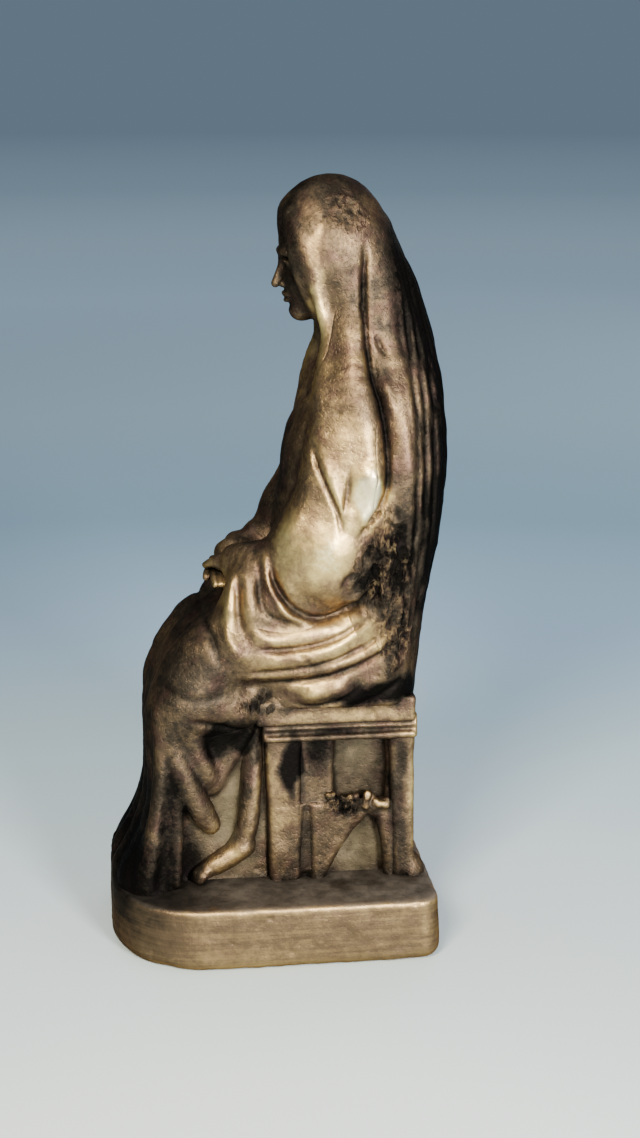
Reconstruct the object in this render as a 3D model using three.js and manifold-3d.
// A seated, veiled bronze figure on a four-legged stool and a plinth, built as the separate castings and
// fasteners of a small cabinet bronze. Millimetres, +Z up, the figure faces -Y and its left side is +X.
// The origin is the middle of the footprint, on the surface that the plinth stands on.
import * as THREE from "three";
import { mergeVertices } from "three/addons/utils/BufferGeometryUtils.js";
import Module from "manifold-3d";

const wasm = await Module();
wasm.setup();

// ---- Driving dimensions ----
const HEIGHT = 100; // top of the veil
const FRONT = -22.5; // front of the plinth
const BACK = 22.5; // furthest point of the veil's back

const PLINTH = { rear: 20.2, halfWidth: 17.5, height: 8.5, frontRadius: 12, rearRadius: 2.5, edge: 0.6 };
const SEAT = {
  bottom: 31,
  thickness: 3,
  front: -3.2,
  rear: 17.6,
  halfWidth: 9.6,
  cornerRadius: 0.8,
  edge: 0.4,
};
const SEAT_TOP = SEAT.bottom + SEAT.thickness;
const LEG = { outer: 9.2, inner: 5.6, taper: 0.82 };
const FRONT_LEG = { from: -2.1, to: 2.7 };
const REAR_LEG = { from: 14.2, to: 17.6 };
const APRON = { bottom: 28.4, outer: 9.3, inner: 7.1 };
// The arch springs from beside the front leg and its point is nearer the rear leg.
const STRETCHER = {
  top: 19.6,
  outer: 8.8,
  inner: 7.1,
  archTop: 16.8,
  archFrom: 3.6,
  apex: 10.4,
  archTo: 13.6,
};
const REAR_RAIL = { from: 16, to: 17.2, drop: 2.6 }; // drop is how far the lower rail reaches down
const UPRIGHT_HALF = 5.2; // half width of the infill's front and rear uprights, between the legs
const INFILL_HALF = 6.8; // half width of the metal web between the two sides of the stool
const WEB_HALF = 7.2; // half width of the web between the skirt and the stool
const WEB_FRONT = -12; // where that web starts, inside the skirt

// The crown's height and the head's middle; depth, width and the widest level are shares of its height.
const HEAD = {
  crown: 98.4,
  y: 7.4,
  depth: 0.86,
  width: 0.68,
  widest: 0.58,
  flatCrown: 0.34,
  bow: Math.PI / 20,
};
const NECK = { y: 9.5, r: 3.5, length: 3.3 }; // length is below the chin

const GAP = 0.3; // clearance between two castings where one is shaped to the other
const ROD = { y: 7, r: 1.5, top: 63, bottom: 0.8, hole: 1.8 };
const NUT = { acrossFlats: 5.5, height: 2.4 };
const WASHER = { r: 3.5, thickness: 0.5 };
const COUNTERBORE = { r: 4.2, depth: 4.6 };
const PIN = { r: 1, y: 9.6, bottom: 73, top: 83, hole: 1.3 };
const AROUND = 20; // points round a casting's section
const LIMB_SIDES = 12;
const DOME = [[0, 1], [0.7, 0.7], [0.95, 0.3]]; // a limb's round end: distance out and radius, in radii
const ROD_SIDES = 16;
const BRONZE = { color: 0x8a6a3c, roughness: 0.42, metalness: 0.9 };
const BRASS = { color: 0xb59a5e, roughness: 0.34, metalness: 0.92 };
const STEEL = { color: 0xa8a8a6, roughness: 0.4, metalness: 0.95 };

// ---- Solids ----
function solidOf(geometry) {
  const bare = geometry.clone();
  bare.deleteAttribute("normal");
  bare.deleteAttribute("uv");
  const merged = mergeVertices(bare, 1e-4);
  return new wasm.Manifold(
    new wasm.Mesh({
      numProp: 3,
      vertProperties: merged.attributes.position.array,
      triVerts: new Uint32Array(merged.index.array),
    }),
  );
}

function geometryOf(solid) {
  const mesh = solid.getMesh();
  const geometry = new THREE.BufferGeometry();
  geometry.setAttribute("position", new THREE.BufferAttribute(mesh.vertProperties, 3));
  geometry.setIndex(new THREE.BufferAttribute(mesh.triVerts, 1));
  geometry.computeVertexNormals();
  return geometry;
}

const join = (first, ...others) => others.reduce((made, solid) => made.add(solid), first);
const cut = (first, ...tools) => tools.reduce((made, tool) => made.subtract(tool), first);
const largest = (solid) => solid.decompose().sort((a, b) => b.volume() - a.volume())[0];

// A closed skin over a stack of rings that all have the same number of points.
function skin(rings) {
  const count = rings[0].length;
  const middles = [rings[0], rings.at(-1)].map((ring) =>
    ring.reduce((sum, p) => sum.add(p), new THREE.Vector3()).divideScalar(count),
  );
  const points = [...rings.flat(), ...middles];
  const index = [];
  const lower = points.length - 2;
  const upper = points.length - 1;
  const top = (rings.length - 1) * count;
  for (let i = 0; i < count; i += 1) {
    const next = (i + 1) % count;
    for (let ring = 0; ring < rings.length - 1; ring += 1) {
      const a = ring * count;
      const b = a + count;
      index.push(a + i, a + next, b + next, a + i, b + next, b + i);
    }
    index.push(lower, next, i, upper, top + i, top + next);
  }
  const geometry = new THREE.BufferGeometry().setFromPoints(points);
  geometry.setIndex(index);
  return geometry;
}

// An upright casting from sections of height z, front and back edge and half width, all moved out by grow.
// squareness 2 is an ellipse, and more is boxier.
function loft(sections, { grow = 0, squareness = 2.3, x = 0 } = {}) {
  const rings = sections.map(({ z, front, back, half }, at) => {
    const end = at === 0 ? -1 : at === sections.length - 1 ? 1 : 0;
    return Array.from({ length: AROUND }, (_, i) => {
      const angle = (2 * Math.PI * i) / AROUND;
      const [c, s] = [Math.cos(angle), Math.sin(angle)];
      const reach = (Math.abs(c) ** squareness + Math.abs(s) ** squareness) ** (-1 / squareness);
      return new THREE.Vector3(
        x + (half + grow) * reach * c,
        (front + back) / 2 + ((back - front) / 2 + grow) * reach * s,
        z + end * grow,
      );
    });
  });
  return solidOf(skin(rings));
}

// A rounded limb through balls of centre x, y, z and radius r, each moved out by grow.
function limb(balls, grow = 0) {
  const centres = balls.map(([x, y, z]) => new THREE.Vector3(x, y, z));
  const side = new THREE.Vector3(0.3, 0.2, 0.1);
  const rings = centres.flatMap((centre, i) => {
    const along = (centres[i + 1] ?? centre).clone().sub(centres[i - 1] ?? centre).normalize();
    side.projectOnPlane(along).normalize();
    const across = along.clone().cross(side);
    const radius = balls[i][3] + grow;
    const last = balls.length - 1;
    const start = DOME.map(([out, r]) => [-out, r]).reverse();
    const dome = { 0: start, [last]: DOME }[i] ?? [[0, 1]];
    return dome.map(([out, r]) =>
      Array.from({ length: LIMB_SIDES }, (_, k) => {
        const angle = (2 * Math.PI * k) / LIMB_SIDES;
        return centre
          .clone()
          .addScaledVector(along, out * radius)
          .addScaledVector(side, Math.cos(angle) * r * radius)
          .addScaledVector(across, Math.sin(angle) * r * radius);
      }),
    );
  });
  return solidOf(skin(rings));
}

function block(from, to) {
  const size = to.map((v, i) => v - from[i]);
  const middle = to.map((v, i) => (v + from[i]) / 2);
  return solidOf(new THREE.BoxGeometry(...size).translate(...middle));
}

// An upright round bar; six sides make it a hexagon whose flats face +Y and -Y.
function bar(r, bottom, top, y, sides = ROD_SIDES) {
  return solidOf(
    new THREE.CylinderGeometry(r, r, top - bottom, sides, 1, false, sides === 6 ? Math.PI / 6 : 0)
      .rotateX(Math.PI / 2)
      .translate(0, y, (bottom + top) / 2),
  );
}

const mirrored = (balls) => balls.map(([x, ...rest]) => [-x, ...rest]);
const aboveZ = (z) => block([-40, -40, z], [40, 40, z + 120]);

// ---- Plinth ----
function roundedOutline(front, rear, halfWidth, frontRadius, rearRadius) {
  const shape = new THREE.Shape();
  const [fx, rx] = [halfWidth - frontRadius, halfWidth - rearRadius];
  shape.moveTo(-fx, front);
  shape.lineTo(fx, front);
  shape.absarc(fx, front + frontRadius, frontRadius, -Math.PI / 2, 0);
  shape.lineTo(halfWidth, rear - rearRadius);
  shape.absarc(rx, rear - rearRadius, rearRadius, 0, Math.PI / 2);
  shape.lineTo(-rx, rear);
  shape.absarc(-rx, rear - rearRadius, rearRadius, Math.PI / 2, Math.PI);
  shape.lineTo(-halfWidth, front + frontRadius);
  shape.absarc(-fx, front + frontRadius, frontRadius, Math.PI, 1.5 * Math.PI);
  return shape;
}

function slab({ front, rear, halfWidth, frontRadius, rearRadius, edge, bottom, height }) {
  const outline = roundedOutline(front + edge, rear - edge, halfWidth - edge, frontRadius, rearRadius);
  return solidOf(
    new THREE.ExtrudeGeometry(outline, {
      depth: height - 2 * edge,
      bevelThickness: edge,
      bevelSize: edge,
      bevelSegments: 2,
      curveSegments: 6,
    }).translate(0, 0, bottom + edge),
  );
}

function plinth() {
  return cut(
    slab({ ...PLINTH, front: FRONT, bottom: 0 }),
    bar(ROD.hole, -1, PLINTH.height + 1, ROD.y),
    bar(COUNTERBORE.r, -1, COUNTERBORE.depth, ROD.y),
  );
}

// ---- Stool ----
function seatSlab() {
  const { bottom, thickness, cornerRadius, ...plan } = SEAT;
  const corners = { frontRadius: cornerRadius, rearRadius: cornerRadius };
  return cut(
    slab({ ...plan, ...corners, bottom, height: thickness }),
    bar(ROD.hole, bottom - 1, SEAT_TOP + 1, ROD.y),
  );
}

// A square leg, narrower at the foot, on the side that sign gives.
function leg({ from, to }, sign) {
  const corners = [
    [LEG.inner, from],
    [LEG.outer, from],
    [LEG.outer, to],
    [LEG.inner, to],
  ];
  const [midX, midY] = [(LEG.inner + LEG.outer) / 2, (from + to) / 2];
  const ring = (z, share) =>
    corners.map(([x, y]) => new THREE.Vector3(midX + (x - midX) * share, midY + (y - midY) * share, z));
  const made = solidOf(skin([ring(PLINTH.height, LEG.taper), ring(APRON.bottom, 1)]));
  return sign > 0 ? made : made.mirror([1, 0, 0]);
}

function sideApron(sign) {
  const made = block([APRON.inner, FRONT_LEG.from, APRON.bottom], [APRON.outer, REAR_LEG.to, SEAT.bottom]);
  return sign > 0 ? made : made.mirror([1, 0, 0]);
}

// The side frame under the seat: a rail whose underside is a pointed arch, with a limb down each leg.
function sideStretcher(sign) {
  const [from, to] = [FRONT_LEG.to, REAR_LEG.from];
  const { archFrom, apex, archTo, archTop } = STRETCHER;
  const shape = new THREE.Shape();
  shape.moveTo(from, PLINTH.height);
  shape.lineTo(archFrom, PLINTH.height);
  shape.quadraticCurveTo(archFrom + 1.4, archTop - 1.6, apex, archTop);
  shape.quadraticCurveTo(archTo - 0.4, archTop - 2, archTo, PLINTH.height);
  shape.lineTo(to, PLINTH.height);
  shape.lineTo(to, STRETCHER.top);
  shape.lineTo(from, STRETCHER.top);
  shape.closePath();
  // The shape's x and y are the stool's y and z.
  const made = solidOf(
    new THREE.ExtrudeGeometry(shape, {
      depth: STRETCHER.outer - STRETCHER.inner,
      bevelEnabled: false,
      curveSegments: 6,
    })
      .applyMatrix4(new THREE.Matrix4().set(0, 0, 1, 0, 1, 0, 0, 0, 0, 1, 0, 0, 0, 0, 0, 1))
      .translate(STRETCHER.inner, 0, 0),
  );
  return sign > 0 ? made : made.mirror([1, 0, 0]);
}

function rearRail(half, bottom, top) {
  return block([-half, REAR_RAIL.from, bottom], [half, REAR_RAIL.to, top]);
}

function stoolInfill() {
  const between = block(
    [-INFILL_HALF, FRONT_LEG.to, PLINTH.height],
    [INFILL_HALF, REAR_LEG.from, APRON.bottom],
  );
  const upright = (from, to) => block([-UPRIGHT_HALF, from, PLINTH.height], [UPRIGHT_HALF, to, SEAT.bottom]);
  const front = upright(FRONT_LEG.from + 0.6, FRONT_LEG.to + 1);
  const rear = upright(REAR_LEG.from - 1, REAR_LEG.to - 1.8);
  return cut(join(between, front, rear), bar(ROD.hole, 0, SEAT.bottom + 1, ROD.y));
}

// ---- Figure ----
const TORSO = [
  { z: 44, front: -0.4, back: 17.2, half: 10 },
  { z: 52, front: -0.6, back: 18.2, half: 10 },
  { z: 60, front: -0.5, back: 19, half: 10.4 },
  { z: 68, front: 1.5, back: 18.8, half: 10.6 },
  { z: 73, front: 3.8, back: 18, half: 9.4 },
  { z: 76.5, front: 5.2, back: 16.6, half: 6.6 },
  { z: 78.5, front: 5.8, back: 14.6, half: 4.6 },
];
// A seated figure is four heads tall from the seat to the crown. The head is a plain egg, narrowest at the
// chin, whose depth and width are the usual shares of its height, and it bows forward on the neck.
const HEAD_HEIGHT = (HEAD.crown - SEAT_TOP) / 4;
const HEAD_LEVELS = [0.1, 0.22, 0.38, 0.58, 0.76, 0.9, 1]; // up from the chin, in head heights
const HEAD_SECTIONS = [
  { z: HEAD.crown - HEAD_HEIGHT - NECK.length, front: NECK.y - NECK.r, back: NECK.y + NECK.r, half: NECK.r },
  ...HEAD_LEVELS.map((level) => {
    const fromWidest = level - HEAD.widest;
    const reach = fromWidest < 0 ? HEAD.widest : 1 - HEAD.widest;
    const share = Math.max(Math.sqrt(1 - (fromWidest / reach) ** 2), HEAD.flatCrown);
    const y = HEAD.y + (0.5 - level) * HEAD_HEIGHT * Math.tan(HEAD.bow);
    const halfDepth = (share * HEAD.depth * HEAD_HEIGHT) / 2;
    return {
      z: HEAD.crown - (1 - level) * HEAD_HEIGHT,
      front: y - halfDepth,
      back: y + halfDepth,
      half: (share * HEAD.width * HEAD_HEIGHT) / 2,
    };
  }),
];
const VEIL = [
  { z: SEAT_TOP, front: 6, back: 18.6, half: 10.6 },
  { z: 42, front: 5, back: 19.6, half: 11.6 },
  { z: 50, front: 4, back: 21, half: 12.4 },
  { z: 58, front: 4, back: 22, half: 12.8 },
  { z: 66, front: 4, back: BACK, half: 13 },
  { z: 72, front: 4, back: 21.7, half: 12.4 },
  { z: 77, front: 4, back: 20.9, half: 9.6 },
  { z: 82, front: 3, back: 19.7, half: 7.6 },
  { z: 88, front: 1, back: 17.3, half: 7.3 },
  { z: 93, front: 0.6, back: 15, half: 6.9 },
  { z: 97, front: 1.2, back: 12.8, half: 5.6 },
  { z: 99.2, front: 3.4, back: 10.8, half: 3.6 },
  { z: HEIGHT, front: 5.4, back: 9, half: 1.8 },
];
const HIPS = [
  { z: SEAT_TOP, front: -5, back: 16.6, half: 10.6 },
  { z: 38, front: -4, back: 17, half: 11.8 },
  { z: 43, front: -2, back: 17, half: 11.4 },
  { z: 46, front: 0, back: 16.6, half: 10.4 },
];
const THIGH = [
  [5.8, 8, 41, 5.6],
  [6, -3.6, 40.8, 5.6],
  [6, -8, 40, 5.2],
  [5.8, -11.4, 36.6, 5.4],
];
const SKIRT = [
  { z: PLINTH.height, front: -21.8, back: -12, half: 11.4 },
  { z: 13, front: -20.6, back: -12.2, half: 11 },
  { z: 20, front: -18.2, back: -11.6, half: 10.7 },
  { z: 30, front: -17.8, back: -9.4, half: 11.2 },
  { z: 36, front: -17.2, back: -8, half: 11.4 },
];
const SLEEVE = [
  [7.4, 10.4, 77, 2.8],
  [9, 10.6, 71, 4],
  [9.8, 9.2, 62, 4.6],
  [10, 5.8, 51.4, 4.7],
  [8.2, -1.6, 50.4, 3.6],
  [5.8, -5, 50.8, 2.8],
];
const CUFF = [
  [9.6, -4.6, 46.6, 1.9],
  [10.6, -4.8, 42.8, 1.7],
];
const HAND = [
  [4.2, -6.4, 52, 2],
  [1.4, -7.4, 52.2, 1.8],
];
const RIGHT_HAND = [
  [-3.8, -6.6, 49.4, 1.9],
  [-0.8, -7.4, 48.4, 1.7],
];
const CALF_AND_FOOT = [
  [7.2, -4.8, 27, 1.5],
  [8, -5.4, 16, 1.5],
  [8.8, -7.4, 12.2, 1.5],
  [9.4, -11.2, 10.4, 1.4],
];
const RIGHT_FOOT = [
  [-5, -15, 11, 1.7],
  [-5.2, -20.8, 10.3, 1.4],
];

const torso = (grow = 0) => loft(TORSO, { grow });
const head = (grow = 0) => loft(HEAD_SECTIONS, { grow });
const sleeve = (sign, grow = 0) => {
  const side = (balls) => (sign > 0 ? balls : mirrored(balls));
  return join(limb(side(SLEEVE), grow), limb([side(SLEEVE).at(-2), ...side(CUFF)], grow));
};
const lap = (grow = 0) => {
  const both = join(loft(HIPS, { grow, squareness: 2.8 }), limb(THIGH, grow), limb(mirrored(THIGH), grow));
  return both.intersect(aboveZ(SEAT_TOP - grow));
};
const foot = (balls, grow = 0) => limb(balls, grow).intersect(aboveZ(PLINTH.height - grow));

// Under the lap and in front of the stool: the hanging cloth, and the web that ties it to the stool.
function skirt() {
  const web = cut(
    block([-WEB_HALF, WEB_FRONT, PLINTH.height], [WEB_HALF, FRONT_LEG.from - GAP, SEAT.bottom - GAP]),
    block([-LEG.outer, SEAT.front - 1, APRON.bottom - GAP], [LEG.outer, 0, SEAT.bottom]),
  );
  const knees = [THIGH, mirrored(THIGH)].map((balls) => {
    const [x, y, z, r] = balls.at(-1);
    return limb([[x, y + 0.6, z - 4, r - 0.6], [x, y - 0.6, 26, r - 1.2]]);
  });
  return largest(
    cut(
      join(loft(SKIRT, { squareness: 2.6 }), web, ...knees),
      lap(GAP),
      foot(CALF_AND_FOOT, GAP),
      foot(RIGHT_FOOT, GAP),
      block([-30, SEAT.front - GAP, SEAT.bottom - GAP], [30, 30, 60]),
    ),
  );
}

// The cloth over the head and down the back: a shell round the figure, open in front.
function veil() {
  const opening = join(
    block([-20, -30, 30], [20, 5.2, 80]),
    loft([
      { z: 78, front: -8, back: 6.6, half: 9 },
      { z: 90, front: -8, back: 5.2, half: 8.4 },
      { z: 94.6, front: -8, back: 4.6, half: 6.4 },
      { z: 97, front: -8, back: 2.4, half: 4.4 },
    ]),
  );
  const inside = [torso(GAP), head(GAP), lap(GAP), sleeve(1, GAP), sleeve(-1, GAP)];
  return largest(cut(loft(VEIL), opening, ...inside));
}

function neckHole(solid) {
  return cut(solid, bar(PIN.hole, PIN.bottom - GAP, PIN.top + GAP, PIN.y));
}

// ---- The assembly ----
const materials = Object.fromEntries(
  Object.entries({ bronze: BRONZE, brass: BRASS, steel: STEEL }).map(([name, look]) => [
    name,
    new THREE.MeshStandardMaterial(look),
  ]),
);

function piece(name, solid, material = materials.bronze) {
  const mesh = new THREE.Mesh(geometryOf(solid), material);
  mesh.name = name;
  return mesh;
}

function groupOf(...pieces) {
  const group = new THREE.Group();
  group.add(...pieces);
  return group;
}

const SIDES = [
  ["left", 1],
  ["right", -1],
];

const stool = groupOf(
  piece("seat_slab", seatSlab()),
  piece("stool_infill", stoolInfill()),
  piece("rear_apron", rearRail(APRON.inner - GAP, APRON.bottom, SEAT.bottom)),
  piece("rear_stretcher", rearRail(LEG.inner - GAP, STRETCHER.top - REAR_RAIL.drop, STRETCHER.top)),
  ...SIDES.flatMap(([side, sign]) => [
    piece(`${side}_front_leg`, leg(FRONT_LEG, sign)),
    piece(`${side}_rear_leg`, leg(REAR_LEG, sign)),
    piece(`${side}_apron`, sideApron(sign)),
    piece(`${side}_stretcher`, sideStretcher(sign)),
  ]),
);

const rodHole = bar(ROD.hole, SEAT_TOP - 1, ROD.top + GAP, ROD.y);
const figure = groupOf(
  piece("torso", largest(neckHole(cut(torso(), rodHole)))),
  piece("head", neckHole(head())),
  piece("veil", veil()),
  piece("lap_drapery", largest(cut(lap(), torso(GAP), rodHole))),
  piece("skirt", skirt()),
  piece("left_sleeve", largest(cut(sleeve(1), torso(GAP), lap(GAP)))),
  piece("right_sleeve", largest(cut(sleeve(-1), torso(GAP), lap(GAP)))),
  piece("left_hand", largest(cut(limb(HAND), torso(GAP), lap(GAP), sleeve(1, GAP), sleeve(-1, GAP)))),
  piece(
    "right_hand",
    largest(cut(limb(RIGHT_HAND), torso(GAP), lap(GAP), sleeve(1, GAP), sleeve(-1, GAP), limb(HAND, GAP))),
  ),
  piece("left_foot", largest(foot(CALF_AND_FOOT))),
  piece("right_foot", largest(foot(RIGHT_FOOT))),
);

const washerTop = COUNTERBORE.depth;
const nutTop = washerTop - WASHER.thickness;
const hexCorner = NUT.acrossFlats / Math.sqrt(3);
const hardware = groupOf(
  piece("tie_rod", bar(ROD.r, ROD.bottom, ROD.top, ROD.y), materials.steel),
  piece(
    "tie_washer",
    cut(bar(WASHER.r, nutTop, washerTop, ROD.y), bar(ROD.hole, 0, 10, ROD.y)),
    materials.steel,
  ),
  piece(
    "tie_nut",
    cut(bar(hexCorner, nutTop - NUT.height, nutTop, ROD.y, 6), bar(ROD.hole, 0, 10, ROD.y)),
    materials.steel,
  ),
  piece("neck_pin", bar(PIN.r, PIN.bottom, PIN.top, PIN.y), materials.brass),
);

export default groupOf(piece("plinth", plinth(), materials.brass), stool, figure, hardware);
